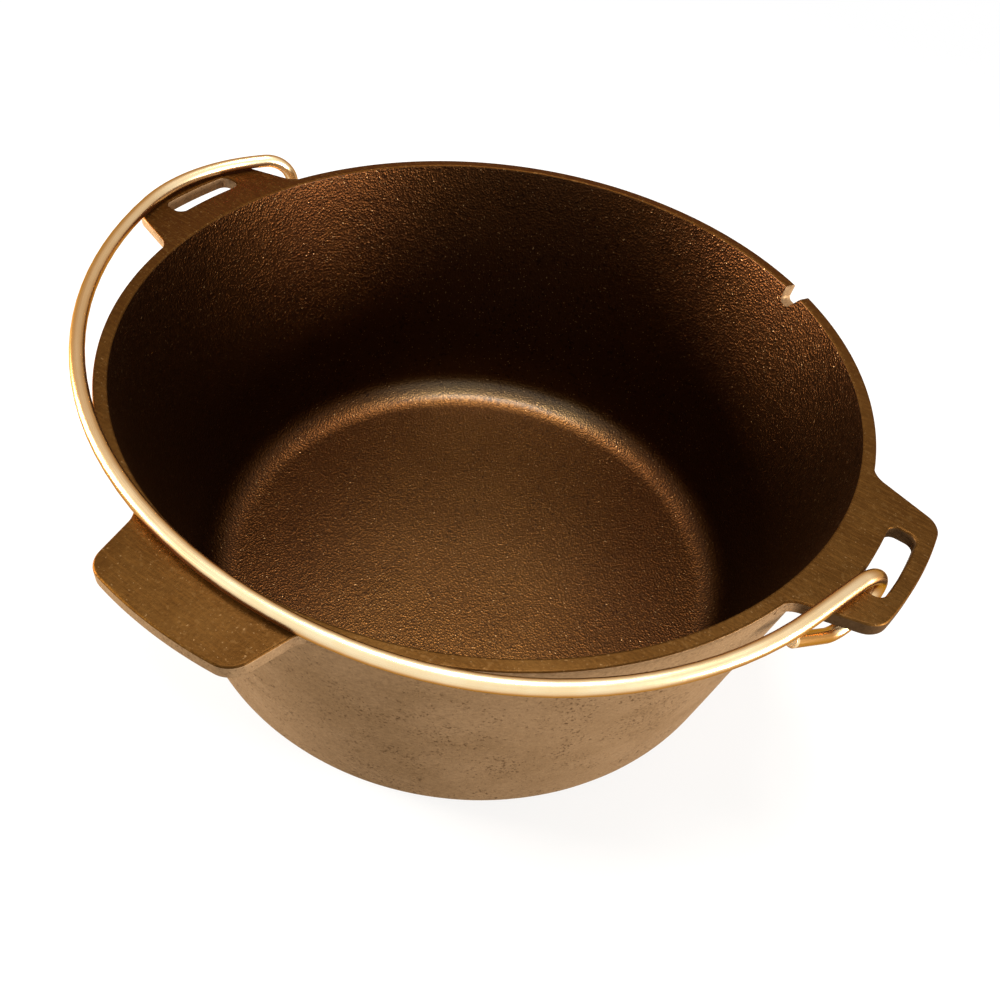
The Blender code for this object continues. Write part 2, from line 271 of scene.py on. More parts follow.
def pebbles_of(group, place, given):
    """Height of the orange-peel pebbles: rounded cells of uneven height on a slow swell."""
    cells = voronoi_node(group, place, given.outputs["Pebble Scale"])
    rounded = ramp_node(group, cells.outputs["Distance"], 0.05, 0.75, 1.0, 0.0)
    uneven = math_node(group, "ADD", faded(group, cells.outputs["Color"], 0.7), 0.5)
    swell_scale = faded(group, given.outputs["Pebble Scale"], 0.35)
    swell = noise_node(group, place, swell_scale, 2.0, 0.5)
    return math_node(group, "ADD", math_node(group, "MULTIPLY", rounded, uneven), swell)


def pits_of(group, place, given):
    """Round pits in some of the cells, 1 at a pit's middle."""
    cells = voronoi_node(group, place, given.outputs["Pit Scale"])
    wanted = math_node(group, "LESS_THAN", cells.outputs["Color"], PIT_CHANCE)
    depth = ramp_node(group, cells.outputs["Distance"], 0.0, 1.0, 1.0, 0.0)
    group.links.new(given.outputs["Pit Size"], depth.node.inputs["From Max"])
    return math_node(group, "MULTIPLY", depth, wanted)


def cast_grain_group():
    """A cast surface: height of pebbles, sand grain and pits, masks of pores and glints."""
    group, given, result = new_group(
        "cast_grain", GRAIN_INPUTS,
        [(label, "NodeSocketFloat") for label in ("Height", "Pore Mask", "Glint Mask")],
    )
    place = group.nodes.new("ShaderNodeTexCoord").outputs["Object"]
    pebbles = math_node(group, "MULTIPLY", pebbles_of(group, place, given), given.outputs["Pebble"])
    sand = noise_node(group, place, given.outputs["Sand Scale"], 4.0, 0.65)
    sand = math_node(group, "MULTIPLY", sand, given.outputs["Sand"])
    pits = math_node(group, "MULTIPLY", pits_of(group, place, given), given.outputs["Pits"])
    height = math_node(group, "SUBTRACT", math_node(group, "ADD", pebbles, sand), pits)
    shift = group.nodes.new("ShaderNodeVectorMath")
    shift.inputs[1].default_value = SPECK_SHIFT
    group.links.new(place, shift.inputs[0])
    apart = shift.outputs[0]
    glint = ramp_node(group, noise_node(group, apart, GLINT_SCALE, 0.0, 0.5), 0.760, 0.820)
    clusters = noise_node(group, apart, CLUSTER_SCALE, 3.0, 0.6)
    clusters = ramp_node(group, clusters, 0.35, 0.65, 0.0, 0.10)
    pores = noise_node(group, apart, given.outputs["Pore Scale"], 2.0, 0.6)
    pores = ramp_node(group, math_node(group, "ADD", pores, clusters), 0.665, 0.705)
    group.links.new(height, result.inputs["Height"])
    group.links.new(pores, result.inputs["Pore Mask"])
    group.links.new(glint, result.inputs["Glint Mask"])
    return group


def blotch_group():
    """Soft and fine colour variation, both 0..1, for seasoning and handling marks."""
    group, given, result = new_group(
        "seasoning_blotches",
        [("Scale", 22.0), ("Fine Scale", 240.0)],
        [("Cloud", "NodeSocketFloat"), ("Fine", "NodeSocketFloat")],
    )
    place = group.nodes.new("ShaderNodeTexCoord").outputs["Object"]
    cloud = noise_node(group, place, given.outputs["Scale"], 5.0, 0.62, 0.4)
    fine = noise_node(group, place, given.outputs["Fine Scale"], 5.0, 0.7)
    group.links.new(ramp_node(group, cloud, 0.32, 0.68), result.inputs["Cloud"])
    group.links.new(ramp_node(group, fine, 0.25, 0.75), result.inputs["Fine"])
    return group


CAST_GRAIN = cast_grain_group()
BLOTCHES = blotch_group()


def new_paint(name):
    """A cleared material with Principled shading; returns it, its tree and its shader."""
    paint = bpy.data.materials.new(name)
    paint.use_nodes = True
    tree = paint.node_tree
    tree.nodes.clear()
    shader = tree.nodes.new("ShaderNodeBsdfPrincipled")
    out = tree.nodes.new("ShaderNodeOutputMaterial")
    tree.links.new(shader.outputs[0], out.inputs["Surface"])
    return paint, tree, shader


def mix_node(tree, factor, first, second):
    """A colour mix of two colours or sockets."""
    node = tree.nodes.new("ShaderNodeMix")
    node.data_type = "RGBA"
    if isinstance(factor, (int, float)):
        node.inputs["Factor"].default_value = factor
    else:
        tree.links.new(factor, node.inputs["Factor"])
    for slot, value in ((6, first), (7, second)):
        if isinstance(value, tuple):
            node.inputs[slot].default_value = (*value, 1.0)
        else:
            tree.links.new(value, node.inputs[slot])
    return node.outputs[2]


def lay_over(tree, under, colour, mask, amount):
    """Lay a colour over another where a mask is, by an amount."""
    return mix_node(tree, faded(tree, mask, amount), under, colour)


def along_node(tree, place, direction):
    """How far a place lies along a direction."""
    node = tree.nodes.new("ShaderNodeVectorMath")
    node.operation = "DOT_PRODUCT"
    node.inputs[1].default_value = direction
    tree.links.new(place, node.inputs[0])
    return node.outputs["Value"]


def bump_node(tree, height, distance, strength, under=None):
    """A bump from a height, laid over another normal if one is given."""
    node = tree.nodes.new("ShaderNodeBump")
    node.inputs["Distance"].default_value = distance
    node.inputs["Strength"].default_value = strength
    tree.links.new(height, node.inputs["Height"])
    if under is not None:
        tree.links.new(under, node.inputs["Normal"])
    return node.outputs[0]


def use_group(tree, group, **values):
    """Place a node group with some inputs set; underscores stand for spaces."""
    node = tree.nodes.new("ShaderNodeGroup")
    node.node_tree = group
    for label, value in values.items():
        node.inputs[label.replace("_", " ")].default_value = value
    return node


# ---------------------------------------------------------------- pot casting
# One heavy iron casting: a round bowl with two slotted ears and a solid tab flush with its
# rim.  The inside is dark, lightly pebbled seasoning that is browner on the floor; the rim,
# ears and tab are ground level on top; the outside is the lighter, rougher sand-cast skin.

RIM_RADIUS = 0.1300
WALL = 0.0045
HEIGHT = 0.1148
DRAFT = math.tan(math.radians(10.1))
FLOOR = 0.0053
FOOT_ROUND = 0.0120
FLOOR_ROUND = 0.0140
RIM_ROUND = 0.0008
TURN_STEPS = 288
RING_SPACING = 0.0035
WAVE_DEPTH = 0.00022
WAVE_SCALE = 34.0
PLATE = 0.0050
PLATE_ROUND = 0.0009
ROOT_ROUND = 0.0080
# Ear and tab: reach from the pot's axis, half width at the root, flare in degrees, corner.
EAR_SHAPE = (0.1523, 0.0315, 16.7, 0.0075)
TAB_SHAPE = (0.1495, 0.0304, 12.5, 0.0080)
SLOT_INNER = 0.1384
SLOT_OUTER = 0.1472
SLOT_HALF = 0.0151
SLOT_ROUND = 0.0030
NOTCH_AZIMUTH = 59.8
NOTCH_DEPTH = 0.0063
NOTCH_ROUND = 0.0019
BASE_RADIUS = RIM_RADIUS - HEIGHT * DRAFT
FLOOR_EDGE = BASE_RADIUS + FLOOR * DRAFT - WALL

FLOOR_BROWN = (0.100, 0.0425, 0.0100)
# Partly painted shade: the inside walls' brown is darker than the floor's.
WALL_SHADE_BROWN = (0.044, 0.0170, 0.0052)
# Painted shade beside the painted sheen band across the inside.
SHADED_SIDE_BROWN = (0.048, 0.0145, 0.0030)
# Painted highlight on the floor's fillet ring.
FILLET_HIGHLIGHT_TAN = (0.105, 0.068, 0.026)
CLOUD_BROWN = (0.060, 0.0215, 0.0042)
DEEP_BROWN = (0.030, 0.0095, 0.0020)
PORE_BLACK = (0.010, 0.003, 0.001)
BRIGHT_GLINT = (0.36, 0.21, 0.09)
# Direction across the painted sheen band.
SHEEN_ACROSS = (0.868, 0.496, 0.0)
INSIDE_GRAIN = {"Pebble_Scale": 1050.0, "Pebble": 1.0, "Sand_Scale": 2400.0, "Sand": 0.60,
                "Pit_Scale": 240.0, "Pits": 0.5, "Pit_Size": 0.20, "Pore_Scale": 600.0}

LEVEL_BROWN = (0.058, 0.0250, 0.0056)
LEVEL_TAN = (0.082, 0.0382, 0.0096)
# Painted shade towards the back left of the rim, ears and tab.
BACK_SHADE_BROWN = (0.043, 0.0150, 0.0022)
FINE_BROWN = (0.030, 0.0105, 0.0018)
LINE_TAN = (0.110, 0.048, 0.011)
FLECK_TAN = (0.110, 0.056, 0.018)
SOFT_GLINT = (0.30, 0.18, 0.08)
TOP_TINT = (0.70, 0.42, 0.20, 1.0)
# Direction in which the tops are painted lighter.
LIT_TOWARDS = (0.6, -0.8, 0.0)
TOP_GRAIN = {"Pebble_Scale": 900.0, "Pebble": 0.35, "Sand_Scale": 2800.0, "Sand": 0.5,
             "Pit_Scale": 330.0, "Pits": 0.6, "Pit_Size": 0.17, "Pore_Scale": 560.0}

SAND_TAN = (0.215, 0.132, 0.068)
PALE_TAN = (0.275, 0.174, 0.095)
BAND_TAN = (0.305, 0.194, 0.105)
SAND_BROWN = (0.112, 0.063, 0.030)
PORE_BROWN = (0.056, 0.027, 0.011)
# Painted shade for the right ear's edge.
EAR_EDGE_SHADE_BROWN = (0.034, 0.0145, 0.0040)
OUTSIDE_TINT = (0.62, 0.46, 0.32, 1.0)
OUTSIDE_GRAIN = {"Pebble_Scale": 900.0, "Pebble": 0.6, "Sand_Scale": 2200.0, "Sand": 0.9,
                 "Pit_Scale": 420.0, "Pits": 1.2, "Pit_Size": 0.30, "Pore_Scale": 1000.0}


def arc(centre, radius, start, end, steps):
    """Points of a plane arc, both ends included; angles in degrees."""
    points = []
    for index in range(steps + 1):
        turn = math.radians(start + (end - start) * index / steps)
        points.append((centre[0] + radius * math.cos(turn), centre[1] + radius * math.sin(turn)))
    return points


def rounded_corner(before, corner, after, radius, steps):
    """Replace one corner of a plane outline by a tangent arc."""
    apex = Vector(corner)
    to_before = (Vector(before) - apex).normalized()
    to_after = (Vector(after) - apex).normalized()
    half = to_before.angle(to_after) / 2
    centre = apex + (to_before + to_after).normalized() * (radius / math.sin(half))
    start = apex + to_before * (radius / math.tan(half)) - centre
    end = apex + to_after * (radius / math.tan(half)) - centre
    sweep = start.angle_signed(end)
    points = []
    for index in range(steps + 1):
        spoke = start.copy()
        spoke.rotate(Matrix.Rotation(-sweep * index / steps, 2))
        points.append(tuple(centre + spoke))
    return points


def polar(point):
    """Azimuth of a plane point, in degrees."""
    return math.degrees(math.atan2(point[1], point[0]))


def spaced(outline, spacing):
    """The outline with extra points so that no run is longer than the spacing."""
    filled = [outline[0]]
    for start, end in zip(outline, outline[1:]):
        steps = max(1, math.ceil(math.dist(start, end) / spacing))
        for index in range(1, steps + 1):
            part = index / steps
            filled.append((start[0] + (end[0] - start[0]) * part,
                           start[1] + (end[1] - start[1]) * part))
    return filled


def bowl_outline():
    """Radius and height of the bowl from the floor's centre, over the rim, to the base's centre."""
    floor_corner = (FLOOR_EDGE, FLOOR)
    rim_inner = (RIM_RADIUS - WALL, HEIGHT)
    rim_outer = (RIM_RADIUS, HEIGHT)
    foot_corner = (BASE_RADIUS, 0.0)
    outline = [(0.0, FLOOR)]
    outline += rounded_corner((0.0, FLOOR), floor_corner, rim_inner, FLOOR_ROUND, 20)
    outline += rounded_corner(floor_corner, rim_inner, rim_outer, RIM_ROUND, 5)
    outline += rounded_corner(rim_inner, rim_outer, foot_corner, RIM_ROUND, 5)
    outline += rounded_corner(rim_outer, foot_corner, (0.0, 0.0), FOOT_ROUND, 16)
    outline.append((0.0, 0.0))
    return spaced(outline, RING_SPACING)


def wave(place):
    """How far a cast face has sunk below its true shape; nothing at the rim and on the base."""
    low, high = 0.0004, 0.1075
    if not low < place.z < high:
        return 0.0
    fade = min(1.0, (high - place.z) / 0.012, (place.z - low) / 0.003)
    swell = noise.noise(place * WAVE_SCALE) + 0.5 * noise.noise(place * WAVE_SCALE * 2.7)
    return WAVE_DEPTH * fade * (0.5 + 0.33 * swell)


def bowl_mesh():
    """The turned bowl, with a trace of unevenness from its sand mould."""
    outline = bowl_outline()
    work = bmesh.new()
    rings = []
    for radius, height in outline:
        if radius == 0.0:
            rings.append([work.verts.new((0.0, 0.0, height))])
            continue
        ring = []
        for step in range(TURN_STEPS):
            turn = 2 * math.pi * step / TURN_STEPS
            ring.append(work.verts.new((radius * math.cos(turn), radius * math.sin(turn), height)))
        rings.append(ring)
    for first, second in zip(rings, rings[1:]):
        for step in range(TURN_STEPS):
            after = (step + 1) % TURN_STEPS
            if len(first) == 1:
                work.faces.new((first[0], second[step], second[after]))
            elif len(second) == 1:
                work.faces.new((first[step], second[0], first[after]))
            else:
                work.faces.new((first[step], second[step], second[after], first[after]))
    bmesh.ops.recalc_face_normals(work, faces=work.faces)
    work.normal_update()
    sunk = [vertex.co - vertex.normal * wave(vertex.co) for vertex in work.verts]
    for vertex, place in zip(work.verts, sunk):
        vertex.co = place
    mesh = bpy.data.meshes.new("pot_casting_shape")
    work.to_mesh(mesh)
    work.free()
    return mesh


def plate_outline(outer, root_half, flare, corner_round):
    """Plan of an ear or tab on +X: sides that narrow outwards, round corners and filleted roots."""
    slope = math.radians(flare)
    along = Vector((math.cos(slope), -math.sin(slope)))
    outward = Vector((math.sin(slope), math.cos(slope)))
    root = Vector((RIM_RADIUS, root_half))
    root_ring = RIM_RADIUS - 0.0004

    def centre_on_ring(ring, shift):
        base = root + outward * shift
        middle = base.dot(along)
        reach = math.sqrt(ring * ring - (base - along * middle).length_squared)
        return base + along * (reach - middle)

    corner = centre_on_ring(outer - corner_round, -corner_round)
    fillet = centre_on_ring(root_ring + ROOT_ROUND, ROOT_ROUND)
    rim_point = fillet.normalized() * root_ring
    upper = arc(fillet, ROOT_ROUND, polar(-fillet), -90 - flare, 14)
    upper += arc(corner, corner_round, 90 - flare, polar(corner), 16)
    lower = [(x, -y) for x, y in reversed(upper)]
    outer_edge = arc((0.0, 0.0), outer, polar(corner), -polar(corner), 36)
    inner_edge = arc((0.0, 0.0), RIM_RADIUS - 0.0030, -polar(rim_point), polar(rim_point), 40)
    return upper + outer_edge[1:-1] + lower + inner_edge


def slot_outline():
    """Plan of the curved slot in the +X ear."""
    centre_y = SLOT_HALF - SLOT_ROUND
    inner_x = math.sqrt((SLOT_INNER + SLOT_ROUND) ** 2 - centre_y ** 2)
    outer_x = math.sqrt((SLOT_OUTER - SLOT_ROUND) ** 2 - centre_y ** 2)
    inner_lean = polar((inner_x, centre_y))
    outer_lean = polar((outer_x, centre_y))
    top = arc((inner_x, centre_y), SLOT_ROUND, 180 + inner_lean, 90, 10)
    top += arc((outer_x, centre_y), SLOT_ROUND, 90, outer_lean, 10)
    outer_edge = arc((0.0, 0.0), SLOT_OUTER, outer_lean, -outer_lean, 20)
    bottom = [(x, -y) for x, y in reversed(top)]
    inner_edge = arc((0.0, 0.0), SLOT_INNER, -inner_lean, inner_lean, 20)
    return top + outer_edge[1:-1] + bottom + inner_edge[1:-1]


def plate_solid(name, outlines, thickness, edge_round, place):
    """A closed plate with rounded edges; a second outline is a hole through it."""
    curve = bpy.data.curves.new(name, "CURVE")
    curve.dimensions = "2D"
    curve.fill_mode = "BOTH"
    curve.extrude = thickness / 2 - edge_round
    curve.bevel_depth = edge_round
    curve.bevel_resolution = 3
    curve.offset = -edge_round
    for outline in outlines:
        spline = curve.splines.new("POLY")
        spline.points.add(len(outline) - 1)
        for point, (x, y) in zip(spline.points, outline):
            point.co = (x, y, 0.0, 1.0)
        spline.use_cyclic_u = True
    item = bpy.data.objects.new(name, curve)
    bpy.context.scene.collection.objects.link(item)
    bpy.context.view_layer.update()
    graph = bpy.context.evaluated_depsgraph_get()
    mesh = bpy.data.meshes.new_from_object(item.evaluated_get(graph))
    bpy.data.objects.remove(item, do_unlink=True)
    mesh.transform(place)
    work = bmesh.new()
    work.from_mesh(mesh)
    bmesh.ops.remove_doubles(work, verts=work.verts, dist=0.000004)
    bmesh.ops.recalc_face_normals(work, faces=work.faces)
    work.to_mesh(mesh)
    work.free()
    solid = bpy.data.objects.new(name, mesh)
    bpy.context.scene.collection.objects.link(solid)
    return solid


def notch_bar():
    """The notch's section as a bar through the rim: one steep side, one sloping side."""
    steep_foot, slope_foot = (0.0044, -NOTCH_DEPTH), (-0.0004, -NOTCH_DEPTH)
    steep_top, slope_top, flare = (0.0044, 0.0020), (-0.0046, 0.0), (-0.0068, 0.0020)
    outline = [steep_top, flare]
    outline += rounded_corner(flare, slope_top, slope_foot, NOTCH_ROUND, 6)
    outline += rounded_corner(slope_top, slope_foot, steep_foot, NOTCH_ROUND, 8)
    outline += rounded_corner(slope_foot, steep_foot, steep_top, NOTCH_ROUND, 8)
    reach = Matrix.Translation((0.0, -(RIM_RADIUS - WALL / 2), HEIGHT))
    turn = Matrix.Rotation(math.radians(NOTCH_AZIMUTH + 90), 4, "Z")
    upright = Matrix.Rotation(math.pi / 2, 4, "X")
    return plate_solid("notch_bar", [outline], WALL * 4, 0.0, turn @ reach @ upright)


def cast_in_one(body, tools):
    """Join the plates and cut the notch, exactly; the tools are used up."""
    for tool, operation in tools:
        step = body.modifiers.new(tool.name, "BOOLEAN")
        step.operation = operation
        step.solver = "EXACT"
        step.object = tool
    bpy.context.view_layer.update()
    graph = bpy.context.evaluated_depsgraph_get()
    mesh = bpy.data.meshes.new_from_object(body.evaluated_get(graph))
    body.modifiers.clear()
    body.data = mesh
    for tool, operation in tools:
        bpy.data.objects.remove(tool, do_unlink=True)


INSIDE, TOP, OUTSIDE = 0, 1, 2


def face_kind(face):
    """Which finish a face of the casting has."""
    radius = math.hypot(face.center.x, face.center.y)
    if face.normal.z > 0.40 and face.center.z > HEIGHT - 0.0012:
        return TOP
    spoke = Vector((face.center.x, face.center.y, 0.0))
    inner_wall = face.normal.dot(spoke) < -0.1 * radius and radius < RIM_RADIUS - WALL / 2
    floor = face.normal.z > 0.5 and face.center.z < 0.03
    return INSIDE if inner_wall or floor else OUTSIDE


def object_place(tree):
    """Object coordinates."""
    return tree.nodes.new("ShaderNodeTexCoord").outputs["Object"]


def object_axes(tree):
    """Object X, Y and Z."""
    apart = tree.nodes.new("ShaderNodeSeparateXYZ")
    tree.links.new(object_place(tree), apart.inputs[0])
    return apart.outputs


def stretched(tree, place, turn, stretch):
    """Coordinates turned about Z and stretched, for grain that runs one way."""
    node = tree.nodes.new("ShaderNodeMapping")
    tree.links.new(place, node.inputs["Vector"])
    node.inputs["Rotation"].default_value = (0.0, 0.0, math.radians(turn))
    node.inputs["Scale"].default_value = stretch
    return node.outputs[0]


def inside_paint():
    """Dark pebbled seasoning, browner on the floor and darker on the walls partly as painted shade,
    with a painted sheen along the middle and a painted highlight on the fillet.
    """
    paint, tree, shader = new_paint("seasoned_inside")
    place, height = object_place(tree), object_axes(tree)[2]
    grain = use_group(tree, CAST_GRAIN, **INSIDE_GRAIN)
    blotch = use_group(tree, BLOTCHES, Scale=24.0, Fine_Scale=420.0)
    # The walls are painted darker than the floor: partly the seasoning's own colour, partly painted
    # shade inside the pot.
    up_wall = ramp_node(tree, height, 0.010, 0.034)
    base = mix_node(tree, up_wall, FLOOR_BROWN, WALL_SHADE_BROWN)
    # Painted sheen: the inside is painted lighter along a band through its middle and darker to
    # each side, standing in for the overhead lamp's reflection on the floor.
    across = math_node(tree, "ABSOLUTE", along_node(tree, place, SHEEN_ACROSS), 0.0)
    off_sheen = ramp_node(tree, across, 0.015, 0.080)
    sheened = lay_over(tree, base, SHADED_SIDE_BROWN, off_sheen, 0.80)
    # Painted highlight: the fillet ring inside the sheen band is painted a paler tan, and the same
    # mask gives it a heavier coat.
    fillet = math_node(tree, "MULTIPLY", ramp_node(tree, height, 0.0055, 0.0080),
                       ramp_node(tree, height, 0.0105, 0.0155, 1.0, 0.0))
    fillet_highlight = math_node(tree, "MULTIPLY", fillet, math_node(tree, "SUBTRACT", 1.0, off_sheen))
    highlighted = mix_node(tree, fillet_highlight, sheened, FILLET_HIGHLIGHT_TAN)
    cloudy = lay_over(tree, highlighted, CLOUD_BROWN, blotch.outputs["Cloud"], 0.4)
    fine = lay_over(tree, cloudy, DEEP_BROWN, blotch.outputs["Fine"], 0.35)
    pored = lay_over(tree, fine, PORE_BLACK, grain.outputs["Pore Mask"], 0.5)
    final = lay_over(tree, pored, BRIGHT_GLINT, grain.outputs["Glint Mask"], 0.60)
    tree.links.new(final, shader.inputs["Base Color"])
    rough = ramp_node(tree, blotch.outputs["Fine"], 0.0, 1.0, 0.30, 0.38)
    tree.links.new(rough, shader.inputs["Roughness"])
    shader.inputs["Metallic"].default_value = 0.97
    tree.links.new(ramp_node(tree, fillet_highlight, 0.0, 1.0, 0.08, 0.65), shader.inputs["Coat Weight"])
    shader.inputs["Coat Roughness"].default_value = 0.26
    shader.inputs["Coat IOR"].default_value = 1.40
    bump = bump_node(tree, grain.outputs["Height"], 0.00012, 1.0)
    tree.links.new(bump, shader.inputs["Normal"])
    return paint


def top_paint():
    """Level ground iron on the rim, ears and tab: smoother brown with fine one-way grain."""
    paint, tree, shader = new_paint("seasoned_top")
    place = object_place(tree)
    grain = use_group(tree, CAST_GRAIN, **TOP_GRAIN)
    blotch = use_group(tree, BLOTCHES, Scale=38.0, Fine_Scale=620.0)
    lines = noise_node(tree, stretched(tree, place, -36.0, (140.0, 1500.0, 400.0)), 1.0, 3.0, 0.6)
    level = mix_node(tree, blotch.outputs["Cloud"], LEVEL_BROWN, LEVEL_TAN)
    # Painted shade: the tops are painted darker towards the back left and lighter towards the front
    # right.
    lit_side = ramp_node(tree, along_node(tree, place, LIT_TOWARDS), -0.16, 0.12)
    base = mix_node(tree, math_node(tree, "SUBTRACT", 1.0, lit_side), level, BACK_SHADE_BROWN)
    fine = lay_over(tree, base, FINE_BROWN, blotch.outputs["Fine"], 0.45)
    lined = mix_node(tree, ramp_node(tree, lines, 0.45, 0.70, 0.0, 0.35), fine, LINE_TAN)
    flecked = lay_over(tree, lined, FLECK_TAN, grain.outputs["Pore Mask"], 0.35)
    final = lay_over(tree, flecked, SOFT_GLINT, grain.outputs["Glint Mask"], 0.30)
    tree.links.new(final, shader.inputs["Base Color"])
    rough = ramp_node(tree, lines, 0.2, 0.8, 0.42, 0.60)
    tree.links.new(rough, shader.inputs["Roughness"])
    shader.inputs["Metallic"].default_value = 0.92
    shader.inputs["Specular Tint"].default_value = TOP_TINT
    under = bump_node(tree, grain.outputs["Height"], 0.00010, 0.8)
    tree.links.new(bump_node(tree, lines, 0.00003, 0.6, under), shader.inputs["Normal"])
    return paint


def outside_paint():
    """Sand-cast skin: tan and rough, dark pores, a calmer band under the rim, painted shade on the
    right ear's edge.
    """
    paint, tree, shader = new_paint("sand_cast_outside")
    axes = object_axes(tree)
    grain = use_group(tree, CAST_GRAIN, **OUTSIDE_GRAIN)
    blotch = use_group(tree, BLOTCHES, Scale=30.0, Fine_Scale=520.0)
    calm = ramp_node(tree, axes[2], 0.092, 0.104)
    base = mix_node(tree, blotch.outputs["Cloud"], SAND_TAN, PALE_TAN)
    banded = lay_over(tree, base, BAND_TAN, calm, 0.5)
    fine = lay_over(tree, banded, SAND_BROWN, blotch.outputs["Fine"], 0.50)
    fewer = ramp_node(tree, calm, 0.0, 1.0, 0.85, 0.50)
    pores = math_node(tree, "MULTIPLY", grain.outputs["Pore Mask"], fewer)
    pored = mix_node(tree, pores, fine, PORE_BROWN)
    # Painted shade: the right ear's edge and the wall just under it are painted dark.
    right_ear_shade = ramp_node(tree, axes[0], 0.1262, 0.1300)
    final = lay_over(tree, pored, EAR_EDGE_SHADE_BROWN, right_ear_shade, 0.85)
    tree.links.new(final, shader.inputs["Base Color"])
    rough = ramp_node(tree, blotch.outputs["Fine"], 0.0, 1.0, 0.52, 0.70)
    tree.links.new(rough, shader.inputs["Roughness"])
    shader.inputs["Metallic"].default_value = 0.80
    shader.inputs["Specular IOR Level"].default_value = 0.30
    shader.inputs["Specular Tint"].default_value = OUTSIDE_TINT
    bump = bump_node(tree, grain.outputs["Height"], 0.00007, 0.8)
    tree.links.new(bump, shader.inputs["Normal"])
    return paint


def make_pot():
    """The finished casting on the pot body."""
    pot = bpy.data.objects.new("pot_casting_fine", bowl_mesh())
    bpy.context.scene.collection.objects.link(pot)
    lift = Matrix.Translation((0.0, 0.0, HEIGHT - PLATE / 2))
    ear, tab, slot = plate_outline(*EAR_SHAPE), plate_outline(*TAB_SHAPE), slot_outline()
    to_left = Matrix.Rotation(math.pi, 4, "Z") @ lift
    to_front = Matrix.Rotation(-math.pi / 2, 4, "Z") @ lift
    plates = (plate_solid("ear_right", [ear, slot], PLATE, PLATE_ROUND, lift),
              plate_solid("ear_left", [ear, slot], PLATE, PLATE_ROUND, to_left),
              plate_solid("front_tab", [tab], PLATE, PLATE_ROUND, to_front))
    cast_in_one(pot, [(plate, "UNION") for plate in plates] + [(notch_bar(), "DIFFERENCE")])
    mesh = pot.data
    mesh.materials.clear()
    for paint in (inside_paint(), top_paint(), outside_paint()):
        mesh.materials.append(paint)
    for face in mesh.polygons:
        face.material_index = face_kind(face)
    mesh.shade_smooth()
    mesh.set_sharp_from_angle(angle=math.radians(38))
    even = pot.modifiers.new("even_normals", "WEIGHTED_NORMAL")
    even.keep_sharp = True
    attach(pot, "pot")
    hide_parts("pot_casting")


make_pot()


# ---------------------------------------------------------------- wire bail
# One length of round drawn wire, bent by hand, so its two shoulders and hooks differ.  It
# lies over the tab; the right hook goes down through its slot and forward under the ear's
# end bar, the left hook goes down behind the other ear.  Its cut ends are eased.

WIRE_RADIUS = 0.0024
WIRE_HEIGHT = HEIGHT + WIRE_RADIUS + 0.0003
CROWN_PLACE = (-0.0224, -0.1274)
CROWN_HEADING = -9.57
CROWN_RADIUS = 0.1603
RIGHT_BEND = {"crown": 24.3, "shoulder": (0.1245, 59.7), "leg": 0.0215, "set": -5.9,
              "hook": 0.0104, "drop": 0.0039, "rise": 29.0, "tail": 0.0210}
LEFT_BEND = {"crown": 61.5, "shoulder": (0.0601, 51.1), "leg": 0.0018, "set": 0.0,
             "hook": 0.0109, "drop": 0.0019, "rise": -36.7, "tail": 0.0083}
SET_RADIUS = 0.0200
BEND_STEP = 3.0
RUN_STEP = 0.0030
SIDES = 40
END_EASE = 0.0006
WIRE_CORE = (0.92, 0.70, 0.39)
WIRE_CORE_PALE = (0.97, 0.79, 0.49)
# Painted shade at the wire's edges.
WIRE_EDGE_SHADE = (0.44, 0.230, 0.090)
DRAWN_LINE = (0.62, 0.38, 0.17)
NICK_BROWN = (0.30, 0.16, 0.07)
WIRE_TINT = (0.62, 0.42, 0.24, 1.0)
NICK_SCALE = 190.0


def carry_round(points, heading, towards, radius, angle):
    """Carry the wire round a bend that turns its heading towards a direction."""
    steps = max(2, math.ceil(angle / BEND_STEP))
    start = points[-1]
    for index in range(1, steps + 1):
        part = math.radians(angle * index / steps)
        rise, run = radius * (1 - math.cos(part)), radius * math.sin(part)
        points.append(start + towards * rise + heading * run)
    full = math.radians(angle)
    return heading * math.cos(full) + towards * math.sin(full)


def carry_on(points, heading, length):
    """Carry the wire straight on."""
    steps = max(1, math.ceil(length / RUN_STEP))
    start = points[-1]
    for index in range(1, steps + 1):
        points.append(start + heading * (length * index / steps))


def half_wire(side, bend):
    """Points from the crown's joint to one end; side is 1 right, -1 left."""
    up = Vector((0.0, 0.0, 1.0))
    azimuth = math.radians(CROWN_HEADING if side > 0 else CROWN_HEADING + 180)
    heading = Vector((math.cos(azimuth), math.sin(azimuth), 0.0))
    points = [Vector((*CROWN_PLACE, WIRE_HEIGHT))]
    heading = carry_round(points, heading, up.cross(heading) * side, CROWN_RADIUS, bend["crown"])
    radius, angle = bend["shoulder"]
    heading = carry_round(points, heading, up.cross(heading) * side, radius, angle)
    carry_on(points, heading, bend["leg"])
    if bend["set"]:
        sideways = up.cross(heading) * (side * math.copysign(1.0, bend["set"]))
        heading = carry_round(points, heading, sideways, SET_RADIUS, abs(bend["set"]))
    down = carry_round(points, heading, -up, bend["hook"], 90)
    carry_on(points, down, bend["drop"])
    back = carry_round(points, down, -heading, bend["hook"], 90 + bend["rise"])
    carry_on(points, back, bend["tail"] - END_EASE)
    for part in (0.5, 0.3, 0.2):
        points.append(points[-1] + back * (END_EASE * part))
    return points


